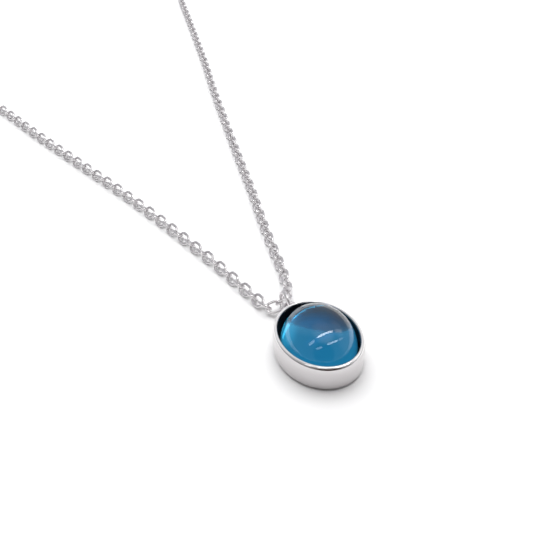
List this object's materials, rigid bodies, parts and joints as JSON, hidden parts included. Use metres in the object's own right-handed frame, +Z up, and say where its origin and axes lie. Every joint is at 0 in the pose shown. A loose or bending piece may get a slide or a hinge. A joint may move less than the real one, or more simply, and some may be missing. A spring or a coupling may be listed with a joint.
{
  "type": "pendant necklace",
  "caption": "Oval domed blue stone in a smooth white-metal cup with a loop and ring, on a fine cable chain that ends in a lobster clasp and a plain ring.",
  "frame": {"origin": "middle of the flat back of the pendant, which lies on the table", "axes": "+Y along the stone's long axis towards the bail, +Z up out of the stone, +X across the pendant"},
  "size_m": [0.0792, 0.1447, 0.0055],
  "materials": {
    "white_metal": "polished",
    "blue_stone": "polished",
    "spring_steel": "drawn wire"
  },
  "bodies": {
    "pendant": {"bezel_wall": "white_metal", "seat_ring": "white_metal", "back_plate": "white_metal", "stone": "blue_stone", "bail_eye": "white_metal"},
    "bail_ring": {"bail_ring": "white_metal"},
    "link_centre": {"link_centre": "white_metal"},
    "link_left_1": {"link_left_1": "white_metal"},
    "link_left_2": {"link_left_2": "white_metal"},
    "link_left_3": {"link_left_3": "white_metal"},
    "link_left_4": {"link_left_4": "white_metal"},
    "chain_left": {"chain_left": "white_metal"},
    "link_left_end_1": {"link_left_end_1": "white_metal"},
    "link_left_end_2": {"link_left_end_2": "white_metal"},
    "link_left_end_3": {"link_left_end_3": "white_metal"},
    "clasp_ring": {"clasp_ring": "white_metal"},
    "clasp": {"clasp_body": "white_metal", "clasp_pin": "spring_steel", "clasp_spring": "spring_steel"},
    "clasp_lever": {"clasp_lever": "white_metal"},
    "link_right_1": {"link_right_1": "white_metal"},
    "link_right_2": {"link_right_2": "white_metal"},
    "link_right_3": {"link_right_3": "white_metal"},
    "link_right_4": {"link_right_4": "white_metal"},
    "chain_right": {"chain_right": "white_metal"},
    "link_right_end_1": {"link_right_end_1": "white_metal"},
    "link_right_end_2": {"link_right_end_2": "white_metal"},
    "link_right_end_3": {"link_right_end_3": "white_metal"},
    "end_ring": {"end_ring": "white_metal"}
  },
  "joints": [
    {"name": "bail_ring_swing", "type": "hinge", "parent": "pendant", "child": "bail_ring", "pos_m": [0, 0.00692, 0.00175], "axis": [1, 0, 0], "range_deg": [0, 100]},
    {"name": "link_centre_turn", "type": "hinge", "parent": "bail_ring", "child": "link_centre", "pos_m": [0.00005, 0.00826, 0.00126], "axis": [0, 0, 1], "range_deg": [-8, 3]},
    {"name": "link_left_1_turn", "type": "hinge", "parent": "link_centre", "child": "link_left_1", "pos_m": [-0.00053, 0.00812, 0.00108], "axis": [0, 0, 1], "range_deg": [0, 4]},
    {"name": "link_left_2_turn", "type": "hinge", "parent": "link_left_1", "child": "link_left_2", "pos_m": [-0.0015, 0.00842, 0.00085], "axis": [0, 0, 1], "range_deg": [0, 12]},
    {"name": "link_left_3_turn", "type": "hinge", "parent": "link_left_2", "child": "link_left_3", "pos_m": [-0.00198, 0.00951, 0.00071], "axis": [0, 0, 1], "range_deg": [0, 12]},
    {"name": "link_left_4_turn", "type": "hinge", "parent": "link_left_3", "child": "link_left_4", "pos_m": [-0.00218, 0.01081, 0.00063], "axis": [0, 0, 1], "range_deg": [0, 12]},
    {"name": "chain_left_turn", "type": "hinge", "parent": "link_left_4", "child": "chain_left", "pos_m": [-0.00238, 0.01198, 0.00062], "axis": [0, 0, 1], "range_deg": [0, 12]},
    {"name": "link_left_end_1_turn", "type": "hinge", "parent": "chain_left", "child": "link_left_end_1", "pos_m": [-0.02746, 0.137, 0.00062], "axis": [0, 0, 1], "range_deg": [-12, 12]},
    {"name": "link_left_end_2_turn", "type": "hinge", "parent": "link_left_end_1", "child": "link_left_end_2", "pos_m": [-0.02627, 0.137, 0.00062], "axis": [0, 0, 1], "range_deg": [-12, 12]},
    {"name": "link_left_end_3_turn", "type": "hinge", "parent": "link_left_end_2", "child": "link_left_end_3", "pos_m": [-0.02495, 0.137, 0.00062], "axis": [0, 0, 1], "range_deg": [-12, 12]},
    {"name": "clasp_ring_turn", "type": "hinge", "parent": "link_left_end_3", "child": "clasp_ring", "pos_m": [-0.02363, 0.137, 0.00092], "axis": [0, 0, 1], "range_deg": [-15, 15]},
    {"name": "clasp_turn", "type": "hinge", "parent": "clasp_ring", "child": "clasp", "pos_m": [-0.02178, 0.137, 0.00087], "axis": [0, 0, 1], "range_deg": [-20, 20]},
    {"name": "clasp_lever_press", "type": "hinge", "parent": "clasp", "child": "clasp_lever", "pos_m": [-0.01958, 0.13645, 0.00087], "axis": [0, 0, 1], "range_deg": [0, 22], "stiffness_Nm_per_rad": 0.00005, "springref_deg": -5.73},
    {"name": "link_right_1_turn", "type": "hinge", "parent": "link_centre", "child": "link_right_1", "pos_m": [0.00056, 0.00866, 0.00112], "axis": [0, 0, -1], "range_deg": [0, 12]},
    {"name": "link_right_2_turn", "type": "hinge", "parent": "link_right_1", "child": "link_right_2", "pos_m": [0.0014, 0.00961, 0.0009], "axis": [0, 0, -1], "range_deg": [0, 12]},
    {"name": "link_right_3_turn", "type": "hinge", "parent": "link_right_2", "child": "link_right_3", "pos_m": [0.00197, 0.01078, 0.00072], "axis": [0, 0, -1], "range_deg": [0, 12]},
    {"name": "link_right_4_turn", "type": "hinge", "parent": "link_right_3", "child": "link_right_4", "pos_m": [0.0024, 0.01203, 0.00063], "axis": [0, 0, -1], "range_deg": [0, 12]},
    {"name": "chain_right_turn", "type": "hinge", "parent": "link_right_4", "child": "chain_right", "pos_m": [0.00276, 0.01318, 0.00062], "axis": [0, 0, -1], "range_deg": [0, 12]},
    {"name": "link_right_end_1_turn", "type": "hinge", "parent": "chain_right", "child": "link_right_end_1", "pos_m": [-0.00153, 0.137, 0.00062], "axis": [0, 0, 1], "range_deg": [-12, 12]},
    {"name": "link_right_end_2_turn", "type": "hinge", "parent": "link_right_end_1", "child": "link_right_end_2", "pos_m": [-0.00273, 0.137, 0.00062], "axis": [0, 0, 1], "range_deg": [-12, 12]},
    {"name": "link_right_end_3_turn", "type": "hinge", "parent": "link_right_end_2", "child": "link_right_end_3", "pos_m": [-0.00405, 0.137, 0.00062], "axis": [0, 0, 1], "range_deg": [-12, 12]},
    {"name": "end_ring_turn", "type": "hinge", "parent": "link_right_end_3", "child": "end_ring", "pos_m": [-0.00534, 0.137, 0.00044], "axis": [0, 0, 1], "range_deg": [-20, 20]}
  ]
}
